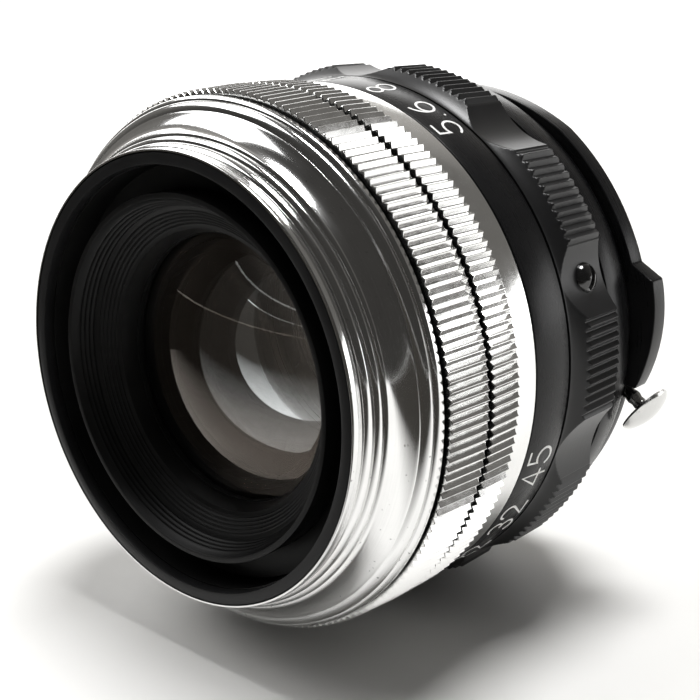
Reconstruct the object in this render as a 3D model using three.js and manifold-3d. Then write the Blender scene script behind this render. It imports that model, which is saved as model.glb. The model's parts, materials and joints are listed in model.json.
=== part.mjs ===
// A preset prime lens, lying with its optical axis along Y: the front looks towards -Y and
// the screw mount is at +Y. The origin is the centre of the mount's seating face.
// Millimetres. A "station" is a distance along the axis, counted back from the front rim.
import * as THREE from 'three';
import { mergeVertices } from 'three/addons/utils/BufferGeometryUtils.js';
import Module from 'manifold-3d';

const wasm = await Module();
wasm.setup();

// ---------------------------------------------------------------- driving dimensions

// Clearances
const RUN = 0.15;            // radial clearance between parts that turn or slide
const JOINT_GAP = 0.3;       // axial gap between neighbouring rings
const SEAT = 0.05;           // clearance of parts that are fixed together

// Optics: radius of each glass's rim, and curvature radii of the faces
const FRONT_GLASS_RADIUS = 12.8;
const FRONT_GLASS_STATION = 6.7;
const INNER_GLASS_RADIUS = 11.5;
const REAR_GLASS_RADIUS = 10.4;
const FRONT_CURVE = 33;
const FRONT_BACK_CURVE = 90;
const SECOND_CURVE = 21;
const THIRD_CURVE = 13.5;
const FOURTH_CURVE = 13;
const FIFTH_CURVE = 20;
const REAR_CURVE = 36;
const CEMENT = 0.06;

// Walls of the nested tubes, from the axis outwards
const FRONT_CELL_WALL = 1.85;
const DRIVE_WALL = 1.3;
const HEAD_WALL = 2.6;
const GUIDE_ROOM = 3.5;      // from the cells out to the fixed guide sleeve
const GUIDE_WALL = 1.2;
const CARRIER_WALL = 2.4;    // the part of the head tube that carries the helicoid
const HELICOID_WALL = 1.35;

// Front barrel
const FILTER_STEP = 0.7;     // from the head tube out to the bore that takes a filter
const FILTER_DEPTH = 4.2;
const FILTER_GROOVE = 2.45;  // width of the groove between that bore and the baffle
const RIM_WALL = 1.45;
const RIM_RING_WIDTH = 1.15; // radial width of the black ring let into the front lip
const RIM_RING_DEPTH = 1.2;
const LIP_LENGTH = 1.05;     // the plain lip, before the first bead
const BEAD_LENGTH = 1.9;     // the two polished beads
const BEAD_RISE = 1.25;
const FLARE_LENGTH = 3.45;   // the hollow flare, up to the rear edge of the barrel
const FLARE_RISE = 2.9;

// Rings on the lens head
const KNURL_WALL = 6.95;     // from the bore of the knurled rings out to the teeth
const STOP_RING_LENGTH = 5.25;
const PRESET_KNURL_LENGTH = 4.2;
const PRESET_BAND_LENGTH = 2.9;
const PRESET_BAND_STEP = 0.4;
const NUMBER_LENGTH = 4.7;
const NUMBER_FRONT_STEP = 0.5;
const NUMBER_REAR_STEP = 0.1;

// Focusing ring and what turns with it
const FOCUS_WALL = 3.6;
const FOCUS_SHOULDER_RISE = 1.2;
const FOCUS_SHOULDER_LENGTH = 1.9;
const FOCUS_GRIP_LENGTH = 5.1;
const SCALLOPS = 10;
const SCALLOP_HALF_WIDTH = 3.78;
const SCALLOP_DEPTH = 1.15;
const SCALLOP_ANGLE = 19.2;  // of one scallop's centre, in degrees up from +X
const SKIRT_WALL = 2.5;
const SKIRT_LENGTH = 4.4;
const LOCK_RING_WALL = 1.7;
const LOCK_RING_LENGTH = 2.2;
const FOCUS_TRAVEL = 4.5;    // how far the lens head moves out

// Mount
const FLANGE_RADIUS = 23.4;
const FLANGE_LENGTH = 1.9;
const THREAD_RADIUS = 19.5;  // M39 screw thread
const THREAD_LENGTH = 4.0;
const THREAD_WALL = 2.3;

// Iris
const BLADES = 8;
const BLADE_THICKNESS = 0.18;
const BLADE_PITCH = 0.42;    // from one blade's layer to the next
const BLADE_WIDTH = 4.2;
const BLADE_SPAN = 112;      // degrees of arc
const IRIS_OPEN_RADIUS = 8.7;

// Small parts
const CLAMP_SCREW_HEAD = 1.55;
const CLAMP_SCREW_SHANK = 0.9;
const PIN_RADIUS = 0.7;
const STOP_RING_THROW = 90;  // degrees from fully open to fully stopped down
const KEY_WIDTH = 3.0;
const BALL_RADIUS = 0.6;

// Facets round a turned part
const OUTER_FACETS = 40;
const INNER_FACETS = 28;
const SMALL_FACETS = 12;

// ---------------------------------------------------------------- stations along the axis

const lipRear = LIP_LENGTH;
const beadRear = lipRear + BEAD_LENGTH;
const barrelRear = beadRear + FLARE_LENGTH;
const stopFront = barrelRear + JOINT_GAP;
const stopRear = stopFront + STOP_RING_LENGTH;
const presetFront = stopRear + JOINT_GAP;
const presetKnurlRear = presetFront + PRESET_KNURL_LENGTH;
const presetRear = presetKnurlRear + PRESET_BAND_LENGTH;
const numberFront = presetRear + JOINT_GAP;
const numberRear = numberFront + NUMBER_LENGTH;
const focusFront = numberRear + JOINT_GAP;
const shoulderRear = focusFront + FOCUS_SHOULDER_LENGTH;
const focusRear = shoulderRear + FOCUS_GRIP_LENGTH;
const skirtFront = focusRear + JOINT_GAP;
const skirtRear = skirtFront + SKIRT_LENGTH;
const lockFront = skirtRear + JOINT_GAP;
const lockRear = lockFront + LOCK_RING_LENGTH;
const sleeveRear = lockRear + JOINT_GAP;
const flangeFront = sleeveRear + JOINT_GAP;
const flangeSeat = flangeFront + FLANGE_LENGTH;
const threadRear = flangeSeat + THREAD_LENGTH;

// ---------------------------------------------------------------- radii of the nested tubes

const frontCellRadius = FRONT_GLASS_RADIUS + SEAT + FRONT_CELL_WALL;
const driveInner = frontCellRadius + RUN;
const driveOuter = driveInner + DRIVE_WALL;
const headInner = driveOuter + RUN;
const headOuter = headInner + HEAD_WALL;
const ringBore = headOuter + RUN;
const guideBore = frontCellRadius + GUIDE_ROOM;
const guideOuter = guideBore + GUIDE_WALL;
const carrierInner = guideOuter + RUN;
const carrierOuter = carrierInner + CARRIER_WALL;
const helicoidInner = carrierOuter + RUN;
const helicoidOuter = helicoidInner + HELICOID_WALL;
const focusBore = helicoidOuter + SEAT;

// ---------------------------------------------------------------- radii of the outside

const filterRadius = headOuter + FILTER_STEP;
const rimRadius = filterRadius + RIM_WALL;
const flareFrontRadius = rimRadius + BEAD_RISE;
const flareRadius = flareFrontRadius + FLARE_RISE;
const knurlRadius = ringBore + KNURL_WALL;
const presetBandRadius = knurlRadius - PRESET_BAND_STEP;
const focusRadius = focusBore + FOCUS_WALL;
const skirtRadius = focusBore + SKIRT_WALL;
const lockRingRadius = focusBore + LOCK_RING_WALL;
const throatRadius = THREAD_RADIUS - THREAD_WALL;

// ---------------------------------------------------------------- helpers

const degrees = Math.PI / 180;
const yOf = (station) => station - flangeSeat;

function colour(hex, roughness, metalness) {
  return new THREE.MeshStandardMaterial({ color: hex, roughness, metalness });
}

const finishes = {
  chrome: () => colour(0xd8d8d6, 0.22, 1.0),
  blackMetal: () => colour(0x17171a, 0.5, 0.6),
  brass: () => colour(0xb08d4f, 0.4, 1.0),
  steel: () => colour(0xa8a8a6, 0.3, 1.0),
  glass: () => colour(0x6f7f88, 0.03, 0.0),
};

const lens = new THREE.Group();

function add(name, geometry, finish) {
  const mesh = new THREE.Mesh(geometry, finishes[finish]());
  mesh.name = name;
  lens.add(mesh);
  return mesh;
}

// A body turned about the optical axis. The outline is a list of [station, radius]; it
// either closes on itself or, where the body is solid, runs from the axis to the axis.
function turned(outline, facets = OUTER_FACETS) {
  const points = outline.map(([station, radius]) => new THREE.Vector2(radius, yOf(station)));
  const solid = points[0].x === 0;
  if (!solid) points.push(points[0].clone());
  if (THREE.ShapeUtils.area(points) < 0) points.reverse();
  return new THREE.LatheGeometry(points, facets);
}

// A plain tube between two stations.
function tube(front, rear, inner, outer, facets = OUTER_FACETS) {
  return turned([[front, inner], [front, outer], [rear, outer], [rear, inner]], facets);
}

// A plate of the given outline, in X and Z, that fills the space between two stations.
function plate(shape, front, rear, curveSegments = 12) {
  const geometry = new THREE.ExtrudeGeometry(shape, {
    depth: rear - front,
    bevelEnabled: false,
    curveSegments,
  });
  geometry.rotateX(Math.PI / 2);
  geometry.translate(0, yOf(rear), 0);
  return geometry;
}

// A sector of a tube, from one angle to another, in degrees up from +X.
function sector(inner, outer, fromAngle, toAngle, front, rear, curveSegments = 12) {
  const shape = new THREE.Shape();
  shape.absarc(0, 0, outer, fromAngle * degrees, toAngle * degrees, false);
  shape.absarc(0, 0, inner, toAngle * degrees, fromAngle * degrees, true);
  shape.closePath();
  return plate(shape, front, rear, curveSegments);
}

// A rod that points away from the axis, at an angle and a station.
function radialRod(radius, inner, outer, angle, station, facets = SMALL_FACETS) {
  const geometry = new THREE.CylinderGeometry(radius, radius, outer - inner, facets);
  geometry.rotateZ(-Math.PI / 2);
  geometry.translate((inner + outer) / 2, 0, 0);
  geometry.rotateY(-angle * degrees);
  geometry.translate(0, yOf(station), 0);
  return geometry;
}

// The X and Z of a point at a distance from the axis and an angle up from +X.
function polar(radius, angle) {
  return [radius * Math.cos(angle * degrees), radius * Math.sin(angle * degrees)];
}

function toSolid(geometry) {
  const bare = geometry.clone();
  bare.deleteAttribute('normal');
  bare.deleteAttribute('uv');
  const merged = mergeVertices(bare, 1e-4);
  return new wasm.Manifold(new wasm.Mesh({
    numProp: 3,
    vertProperties: merged.attributes.position.array,
    triVerts: new Uint32Array(merged.index.array),
  }));
}

function toGeometry(solid) {
  const mesh = solid.getMesh();
  const geometry = new THREE.BufferGeometry();
  geometry.setAttribute('position', new THREE.BufferAttribute(mesh.vertProperties, 3));
  geometry.setIndex(new THREE.BufferAttribute(mesh.triVerts, 1));
  geometry.computeVertexNormals();
  return geometry;
}

function cut(geometry, ...tools) {
  return toGeometry(tools.reduce((body, tool) => body.subtract(toSolid(tool)), toSolid(geometry)));
}

function join(geometry, ...others) {
  return toGeometry(others.reduce((body, other) => body.add(toSolid(other)), toSolid(geometry)));
}

// ---------------------------------------------------------------- front barrel

const rimRingOuter = filterRadius + RIM_RING_WIDTH;
const baffleOuter = filterRadius - FILTER_GROOVE;
const baffleFront = 1.0;
const glassSeatRadius = FRONT_GLASS_RADIUS + SEAT;
const baffleRear = FRONT_GLASS_STATION - 0.5;
const headFront = FILTER_DEPTH + 0.6;

function frontBarrel() {
  const rebate = rimRingOuter + SEAT;
  const flareStep = beadRear + 0.57 * FLARE_LENGTH;
  return turned([
    [0, rebate],
    [0, rimRadius],
    [lipRear, rimRadius],
    [beadRear, flareFrontRadius],
    [flareStep, flareFrontRadius + 0.5 * FLARE_RISE],
    [barrelRear - 0.5, flareRadius],
    [barrelRear, flareRadius],
    [barrelRear, headOuter + SEAT],
    [headFront - SEAT, headOuter + SEAT],
    [headFront - SEAT, headInner + SEAT],
    [FILTER_DEPTH, headInner + SEAT],
    [FILTER_DEPTH, filterRadius],
    [RIM_RING_DEPTH + SEAT, filterRadius],
    [RIM_RING_DEPTH + SEAT, rebate],
  ]);
}
add('front_barrel', frontBarrel(), 'chrome');
add('front_rim_ring', tube(0, RIM_RING_DEPTH, filterRadius, rimRingOuter), 'blackMetal');

// The black ring that holds the front cell and steps down to the front glass.
function frontBaffle() {
  const ledge = baffleFront + 2.2;
  return turned([
    [baffleFront, baffleOuter],
    [FILTER_DEPTH - SEAT, baffleOuter],
    [FILTER_DEPTH - SEAT, frontCellRadius + SEAT],
    [baffleRear, frontCellRadius + SEAT],
    [baffleRear, glassSeatRadius],
    [ledge + 1.4, glassSeatRadius + 0.9],
    [ledge, baffleOuter - 1.4],
    [baffleFront, baffleOuter - 0.6],
  ]);
}
add('front_baffle', frontBaffle(), 'blackMetal');

// ---------------------------------------------------------------- optics

// How far a face of curvature radius R falls back at a radius r.
function sag(curvature, radius) {
  return curvature - Math.sqrt(curvature * curvature - radius * radius);
}

// How far a face stands proud of its own edge at a radius r.
function rise(curvature, edgeRadius, r) {
  return sag(curvature, edgeRadius) - sag(curvature, r);
}

// Points along a curved face, from the axis to the rim. The face's edge is at a station,
// and its middle stands in front of the edge where bulge is +1 and behind it where it is -1.
function face(edgeStation, curvature, radius, bulge, steps = 3) {
  const points = [];
  for (let step = 0; step <= steps; step += 1) {
    const r = (radius * step) / steps;
    points.push([edgeStation - bulge * rise(curvature, radius, r), r]);
  }
  return points;
}

function glass(front, rear, radius) {
  const frontFace = face(front.edge, front.curvature, front.radius ?? radius, front.bulge);
  const rearFace = face(rear.edge, rear.curvature, rear.radius ?? radius, rear.bulge);
  const outline = [...frontFace];
  if (front.radius) outline.push([front.edge, radius]);
  if (rear.radius) outline.push([rear.edge, radius]);
  return turned([...outline, ...rearFace.reverse()], INNER_FACETS);
}

const flat = 1e4;
const frontGlassRear = FRONT_GLASS_STATION + 2.5;
const doubletFront = frontGlassRear + 3.1;
const doubletJoint = doubletFront + 1.3;
const doubletRear = doubletJoint + 3.9;
const hollowRadius = INNER_GLASS_RADIUS - 2.6;

add('front_element', glass(
  { edge: FRONT_GLASS_STATION, curvature: FRONT_CURVE, bulge: 1 },
  { edge: frontGlassRear, curvature: FRONT_BACK_CURVE, bulge: 1 },
  FRONT_GLASS_RADIUS,
), 'glass');
add('second_element', glass(
  { edge: doubletFront, curvature: SECOND_CURVE, bulge: 1 },
  { edge: doubletJoint, curvature: flat, bulge: 1 },
  INNER_GLASS_RADIUS,
), 'glass');
add('third_element', glass(
  { edge: doubletJoint + CEMENT, curvature: flat, bulge: 1 },
  { edge: doubletRear, curvature: THIRD_CURVE, bulge: 1, radius: hollowRadius },
  INNER_GLASS_RADIUS,
), 'glass');

const irisFront = doubletRear + 0.6;
const bladeStart = irisFront + 0.9;
const bladeEnd = bladeStart + (BLADES - 1) * BLADE_PITCH + BLADE_THICKNESS;
const irisRear = bladeEnd + 0.9;

const rearDoubletFront = irisRear + 0.6;
const rearDoubletJoint = rearDoubletFront + 3.7;
const rearDoubletRear = rearDoubletJoint + 1.2;
const lastFront = rearDoubletRear + 3.4;
const lastRear = lastFront + 1.8;
const rearHollowRadius = REAR_GLASS_RADIUS - 2.1;

add('fourth_element', glass(
  { edge: rearDoubletFront, curvature: FOURTH_CURVE, bulge: -1, radius: rearHollowRadius },
  { edge: rearDoubletJoint, curvature: flat, bulge: 1 },
  REAR_GLASS_RADIUS,
), 'glass');
add('fifth_element', glass(
  { edge: rearDoubletJoint + CEMENT, curvature: flat, bulge: 1 },
  { edge: rearDoubletRear, curvature: FIFTH_CURVE, bulge: -1 },
  REAR_GLASS_RADIUS,
), 'glass');
add('rear_element', glass(
  { edge: lastFront, curvature: flat, bulge: 1 },
  { edge: lastRear, curvature: REAR_CURVE, bulge: -1 },
  REAR_GLASS_RADIUS,
), 'glass');

// ---------------------------------------------------------------- cells, spacers, retainers

const cellLip = 0.9;
const cellFlange = 1.0;
const rearCellWall = frontCellRadius - 1.5;
const carrierFront = numberFront + 1.2;
const innerStep = Math.max(irisRear + SEAT, carrierFront + 1.5);

add('front_cell', turned([
  [baffleRear + SEAT, glassSeatRadius],
  [baffleRear + SEAT, frontCellRadius],
  [irisFront - SEAT, frontCellRadius],
  [irisFront - SEAT, hollowRadius],
  [doubletRear + SEAT, hollowRadius],
  [doubletRear + SEAT, INNER_GLASS_RADIUS + SEAT],
  [frontGlassRear + SEAT, INNER_GLASS_RADIUS + SEAT],
  [frontGlassRear + SEAT, glassSeatRadius],
], INNER_FACETS), 'blackMetal');

// The spacers and the retainer have an edge that is bevelled to lie on the glass.
const frontSpacerBore = INNER_GLASS_RADIUS - cellLip;
const rearSpacerBore = REAR_GLASS_RADIUS - cellLip;

// The station of the front glass's back face at a radius.
function glassBack(radius) {
  return frontGlassRear - rise(FRONT_BACK_CURVE, FRONT_GLASS_RADIUS, radius);
}

add('front_spacer', turned([
  [glassBack(frontSpacerBore) + 2 * SEAT, frontSpacerBore],
  [glassBack(INNER_GLASS_RADIUS) + 2 * SEAT, INNER_GLASS_RADIUS],
  [doubletFront - 2 * SEAT, INNER_GLASS_RADIUS],
  [doubletFront - 2 * SEAT - rise(SECOND_CURVE, INNER_GLASS_RADIUS, frontSpacerBore), frontSpacerBore],
], INNER_FACETS), 'blackMetal');

add('rear_cell', turned([
  [irisRear + SEAT, rearHollowRadius],
  [irisRear + SEAT, frontCellRadius],
  [innerStep + SEAT, frontCellRadius],
  [innerStep + SEAT, guideBore],
  [innerStep + SEAT + cellFlange, guideBore],
  [innerStep + SEAT + cellFlange, rearCellWall],
  [lastRear + 2.6, rearCellWall],
  [lastRear + 2.6, REAR_GLASS_RADIUS + SEAT],
  [rearDoubletFront - SEAT, REAR_GLASS_RADIUS + SEAT],
  [rearDoubletFront - SEAT, rearHollowRadius],
], INNER_FACETS), 'blackMetal');

add('rear_spacer', turned([
  [rearDoubletRear + 2 * SEAT + rise(FIFTH_CURVE, REAR_GLASS_RADIUS, rearSpacerBore), rearSpacerBore],
  [rearDoubletRear + 2 * SEAT, REAR_GLASS_RADIUS],
  [lastFront - SEAT, REAR_GLASS_RADIUS],
  [lastFront - SEAT, rearSpacerBore],
], INNER_FACETS), 'blackMetal');

add('rear_retaining_ring', turned([
  [lastRear + 2 * SEAT + rise(REAR_CURVE, REAR_GLASS_RADIUS, rearSpacerBore), rearSpacerBore],
  [lastRear + 2 * SEAT, REAR_GLASS_RADIUS],
  [lastRear + 2.0, REAR_GLASS_RADIUS],
  [lastRear + 2.0, REAR_GLASS_RADIUS - 0.4],
], INNER_FACETS), 'blackMetal');

// ---------------------------------------------------------------- iris

const irisWall = 0.9;
const bladeMiddle = IRIS_OPEN_RADIUS + BLADE_WIDTH / 2;
const bladeRoom = IRIS_OPEN_RADIUS + BLADE_WIDTH + 0.55;

add('iris_housing', turned([
  [irisFront, IRIS_OPEN_RADIUS],
  [irisFront, frontCellRadius],
  [irisRear, frontCellRadius],
  [irisRear, bladeRoom],
  [bladeStart - 0.3, bladeRoom],
  [bladeStart - 0.3, IRIS_OPEN_RADIUS],
], INNER_FACETS), 'blackMetal');

// One blade: an arc that lies clear of the opening, with round ends, pivoted at its start.
function blade(index) {
  const inner = IRIS_OPEN_RADIUS;
  const outer = inner + BLADE_WIDTH;
  const span = BLADE_SPAN * degrees;
  const half = BLADE_WIDTH / 2;
  const shape = new THREE.Shape();
  shape.absarc(0, 0, outer, 0, span, false);
  shape.absarc(bladeMiddle * Math.cos(span), bladeMiddle * Math.sin(span), half,
    span, span + Math.PI, false);
  shape.absarc(0, 0, inner, span, 0, true);
  shape.absarc(bladeMiddle, 0, half, Math.PI, 2 * Math.PI, false);
  const front = bladeStart + index * BLADE_PITCH;
  const geometry = plate(shape, front, front + BLADE_THICKNESS, 5);
  geometry.rotateY(-(index * 360 * degrees) / BLADES);
  return geometry;
}
for (let index = 0; index < BLADES; index += 1) {
  add(`iris_blade_${index + 1}`, blade(index), 'blackMetal');
}

// The sleeve that carries the stop-down ring's movement back to the iris.
const pinStation = (stopFront + stopRear) / 2;
const pinAngle = 150;
const driveFront = pinStation - 2 * PIN_RADIUS;
add('iris_drive_sleeve', cut(
  tube(driveFront, irisFront + 0.8, driveInner, driveOuter, INNER_FACETS),
  radialRod(PIN_RADIUS + SEAT, driveInner - 1, driveOuter + 1, pinAngle, pinStation),
), 'brass');
add('iris_pin', radialRod(
  PIN_RADIUS,
  driveInner + 2 * SEAT,
  ringBore + 1.5,
  pinAngle,
  pinStation,
), 'steel');

// ---------------------------------------------------------------- lens head

const carrierRear = flangeFront - LOCK_RING_LENGTH - 1.6;

// One tube carries every ring and cell of the head. Its wide rear part holds the helicoid.
function headTube() {
  const body = turned([
    [headFront, headInner],
    [headFront, headOuter],
    [carrierFront, headOuter],
    [carrierFront, carrierOuter],
    [carrierRear, carrierOuter],
    [carrierRear, carrierInner],
    [innerStep, carrierInner],
    [innerStep, headInner],
  ]);
  const slotHalf = 2 * PIN_RADIUS / headOuter / degrees;
  const irisSlot = sector(
    headInner - 1,
    headOuter + 1,
    pinAngle - slotHalf,
    pinAngle + STOP_RING_THROW + slotHalf,
    pinStation - PIN_RADIUS - RUN,
    pinStation + PIN_RADIUS + RUN,
  );
  const keySlot = new THREE.BoxGeometry(KEY_WIDTH + 2 * RUN, carrierRear - carrierFront, 4);
  keySlot.translate(0, yOf(carrierRear), -(carrierInner + carrierOuter) / 2);
  return cut(body, irisSlot, keySlot);
}
add('head_tube', headTube(), 'brass');

add('stop_down_ring', cut(
  turned([
    [stopFront, ringBore],
    [stopFront, knurlRadius - 0.8],
    [stopFront + 0.5, knurlRadius - 0.3],
    [stopRear, knurlRadius],
    [stopRear, ringBore],
  ]),
  radialRod(PIN_RADIUS + SEAT, ringBore - 1, ringBore + 1.5 + SEAT, pinAngle, pinStation),
), 'chrome');

// The preset ring clicks on a sprung ball that sits in a pocket of its bore.
const detentAngle = 240;
const detentStation = presetFront + 1.6;
const detentSeat = ringBore + 2 * BALL_RADIUS + 2.2;

add('preset_ring', cut(
  turned([
    [presetFront, ringBore],
    [presetFront, knurlRadius - 0.9],
    [presetFront + 0.6, knurlRadius],
    [presetKnurlRear, knurlRadius],
    [presetKnurlRear, presetBandRadius],
    [presetRear, presetBandRadius],
    [presetRear, ringBore],
  ]),
  radialRod(BALL_RADIUS + SEAT, ringBore - 1, detentSeat, detentAngle, detentStation),
), 'chrome');

function ball(radius, distance, angle, station) {
  const geometry = new THREE.SphereGeometry(radius, SMALL_FACETS, SMALL_FACETS / 2);
  geometry.translate(distance, yOf(station), 0);
  geometry.rotateY(-angle * degrees);
  return geometry;
}

add('preset_ball', ball(
  BALL_RADIUS,
  ringBore + BALL_RADIUS,
  detentAngle,
  detentStation,
), 'steel');
add('preset_spring', radialRod(
  BALL_RADIUS - 0.1,
  ringBore + 2 * BALL_RADIUS + SEAT,
  detentSeat - SEAT,
  detentAngle,
  detentStation,
), 'steel');

// The scale ring is fixed on the head tube, over the step up to the wide part.
const numberBore = headOuter + SEAT;
add('aperture_scale_ring', turned([
  [numberFront, numberBore],
  [numberFront, knurlRadius - NUMBER_FRONT_STEP],
  [numberRear, knurlRadius - NUMBER_REAR_STEP],
  [numberRear, carrierOuter + SEAT],
  [carrierFront - SEAT, carrierOuter + SEAT],
  [carrierFront - SEAT, numberBore],
]), 'blackMetal');

// ---------------------------------------------------------------- focusing ring

const screwStation = (shoulderRear + focusRear) / 2 - 0.4;
const scallopFloor = focusRadius - SCALLOP_DEPTH;
const screwSeat = scallopFloor - 0.5;

// A scallop is milled by a round cutter that runs parallel to the axis.
function scallopCutter(angle) {
  const chordDrop = focusRadius - Math.sqrt(focusRadius ** 2 - SCALLOP_HALF_WIDTH ** 2);
  const depth = SCALLOP_DEPTH - chordDrop;
  const cutter = (SCALLOP_HALF_WIDTH ** 2 + depth ** 2) / (2 * depth);
  const length = focusRear - focusFront + 4;
  const geometry = new THREE.CylinderGeometry(cutter, cutter, length, OUTER_FACETS);
  geometry.translate(scallopFloor + cutter, yOf((focusFront + focusRear) / 2), 0);
  geometry.rotateY(-angle * degrees);
  return geometry;
}

const screwAngles = [SCALLOP_ANGLE, SCALLOP_ANGLE + 180];

function focusRing() {
  const body = turned([
    [focusFront, focusBore],
    [focusFront, focusRadius - FOCUS_SHOULDER_RISE],
    [shoulderRear, focusRadius],
    [focusRear, focusRadius],
    [focusRear, focusBore],
  ]);
  const tools = [];
  for (let index = 0; index < SCALLOPS; index += 1) {
    tools.push(scallopCutter(SCALLOP_ANGLE + (index * 360) / SCALLOPS));
  }
  for (const angle of screwAngles) {
    tools.push(radialRod(CLAMP_SCREW_HEAD + RUN, screwSeat, focusRadius, angle, screwStation));
    tools.push(radialRod(CLAMP_SCREW_SHANK + RUN, focusBore - 1, focusRadius, angle, screwStation));
  }
  return cut(body, ...tools);
}
add('focus_ring', focusRing(), 'blackMetal');

// The two screws that clamp the focusing ring to the helicoid sleeve.
function clampScrew(angle) {
  const dome = new THREE.LatheGeometry([
    new THREE.Vector2(0, helicoidOuter - 0.9),
    new THREE.Vector2(CLAMP_SCREW_SHANK, helicoidOuter - 0.9),
    new THREE.Vector2(CLAMP_SCREW_SHANK, screwSeat + SEAT),
    new THREE.Vector2(CLAMP_SCREW_HEAD, screwSeat + SEAT),
    new THREE.Vector2(CLAMP_SCREW_HEAD, screwSeat + 0.8),
    new THREE.Vector2(CLAMP_SCREW_HEAD * 0.6, screwSeat + 1.3),
    new THREE.Vector2(0, screwSeat + 1.45),
  ], SMALL_FACETS);
  const slot = new THREE.BoxGeometry(0.5, 0.8, 4 * CLAMP_SCREW_HEAD);
  slot.translate(0, screwSeat + 1.45, 0);
  const screw = cut(dome, slot);
  screw.rotateZ(-Math.PI / 2);
  screw.rotateY(-angle * degrees);
  screw.translate(0, yOf(screwStation), 0);
  return screw;
}
screwAngles.forEach((angle, index) => {
  add(`focus_clamp_screw_${index + 1}`, clampScrew(angle), 'blackMetal');
});

// The brass sleeve turns with the focusing ring and drives the head along its thread.
const lipFront = sleeveRear - 1.8;
function helicoidSleeve() {
  const body = turned([
    [focusFront + 0.4, helicoidInner],
    [focusFront + 0.4, helicoidOuter],
    [sleeveRear, helicoidOuter],
    [sleeveRear, carrierInner + RUN],
    [lipFront, carrierInner + RUN],
    [lipFront, helicoidInner],
  ]);
  const holes = screwAngles.map((angle) => radialRod(
    CLAMP_SCREW_SHANK + SEAT,
    helicoidOuter - 1.0,
    helicoidOuter + 1,
    angle,
    screwStation,
  ));
  return cut(body, ...holes);
}
add('helicoid_sleeve', helicoidSleeve(), 'brass');

add('rear_skirt', turned([
  [skirtFront, focusBore],
  [skirtFront, skirtRadius],
  [skirtRear - 1.2, skirtRadius],
  [skirtRear, skirtRadius - 0.5],
  [skirtRear, focusBore],
]), 'blackMetal');

// ---------------------------------------------------------------- infinity lock

const LOCK_TAPER_TOP = 78;       // angles of the raised plate's ends, in degrees up from +X
const LOCK_PLATE_TOP = 52;       // where the plate starts to thin out
const LOCK_PLATE_BOTTOM = -8.5;
const LOCK_STEP_TOP = 18.8;      // where the plate steps up to the button's housing
const LOCK_STEP_BOTTOM = 14.7;
const lockPlateRadius = lockRingRadius + 1.2;
const lockHousingRadius = lockRingRadius + 3.0;
const lockEndRadius = lockRingRadius + 1.3;

const BUTTON_DIRECTION = -37;    // the way the button points, in degrees up from +X
const BUTTON_HEAD_RADIUS = 2.85;
const BUTTON_HEAD_HEIGHT = 1.5;
const BUTTON_POST_RADIUS = 0.6;
const BUTTON_POST_LENGTH = 2.1;  // out from the base
const BUTTON_TRAVEL = 0.5;
const BUTTON_TAIL = 0.9;         // in from the base
const LOCK_SPRING_LENGTH = 0.35;
const buttonStation = lockFront + LOCK_RING_LENGTH / 2;
const buttonBase = polar(lockRingRadius + 0.2, LOCK_PLATE_BOTTOM - 2.1);
const buttonBoreEnd = -(BUTTON_TAIL + BUTTON_TRAVEL + LOCK_SPRING_LENGTH + 2 * SEAT);

// A body turned about the button's own axis, with distance counted out from its base.
function alongButton(outline, facets = SMALL_FACETS) {
  const points = outline.map(([along, radius]) => new THREE.Vector2(radius, along));
  const geometry = new THREE.LatheGeometry(points, facets);
  geometry.rotateZ(-Math.PI / 2);
  geometry.rotateY(-BUTTON_DIRECTION * degrees);
  geometry.translate(buttonBase[0], yOf(buttonStation), buttonBase[1]);
  return geometry;
}

function lockRing() {
  const ring = tube(lockFront, lockRear, focusBore, lockRingRadius);
  const shape = new THREE.Shape();
  const root = (focusBore + lockRingRadius) / 2;
  shape.moveTo(...polar(root, LOCK_PLATE_BOTTOM));
  shape.lineTo(...polar(lockEndRadius, LOCK_PLATE_BOTTOM));
  const steps = 6;
  for (let step = 1; step <= steps; step += 1) {
    const share = step / steps;
    const angle = LOCK_PLATE_BOTTOM + share * (LOCK_STEP_BOTTOM - LOCK_PLATE_BOTTOM);
    shape.lineTo(...polar(lockEndRadius + share * (lockHousingRadius - lockEndRadius), angle));
  }
  shape.absarc(0, 0, lockPlateRadius, LOCK_STEP_TOP * degrees, LOCK_PLATE_TOP * degrees, false);
  for (let step = 1; step <= steps; step += 1) {
    const share = step / steps;
    const angle = LOCK_PLATE_TOP + share * (LOCK_TAPER_TOP - LOCK_PLATE_TOP);
    shape.lineTo(...polar(lockPlateRadius - share * (lockPlateRadius - lockRingRadius), angle));
  }
  shape.absarc(0, 0, root, LOCK_TAPER_TOP * degrees, LOCK_PLATE_BOTTOM * degrees, true);
  const housing = plate(shape, lockFront, lockRear, 10);
  const bore = alongButton([
    [buttonBoreEnd, 0],
    [buttonBoreEnd, BUTTON_POST_RADIUS + RUN],
    [BUTTON_POST_LENGTH, BUTTON_POST_RADIUS + RUN],
    [BUTTON_POST_LENGTH, 0],
  ]);
  return cut(join(ring, housing), bore);
}
add('lock_ring', lockRing(), 'blackMetal');

add('lock_button', alongButton([
  [-BUTTON_TAIL, 0],
  [-BUTTON_TAIL, BUTTON_POST_RADIUS],
  [BUTTON_POST_LENGTH, BUTTON_POST_RADIUS],
  [BUTTON_POST_LENGTH, BUTTON_HEAD_RADIUS * 0.9],
  [BUTTON_POST_LENGTH + 0.4, BUTTON_HEAD_RADIUS],
  [BUTTON_POST_LENGTH + 0.8, BUTTON_HEAD_RADIUS * 0.9],
  [BUTTON_POST_LENGTH + BUTTON_HEAD_HEIGHT * 0.85, BUTTON_HEAD_RADIUS * 0.5],
  [BUTTON_POST_LENGTH + BUTTON_HEAD_HEIGHT, 0],
], 24), 'chrome');

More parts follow.
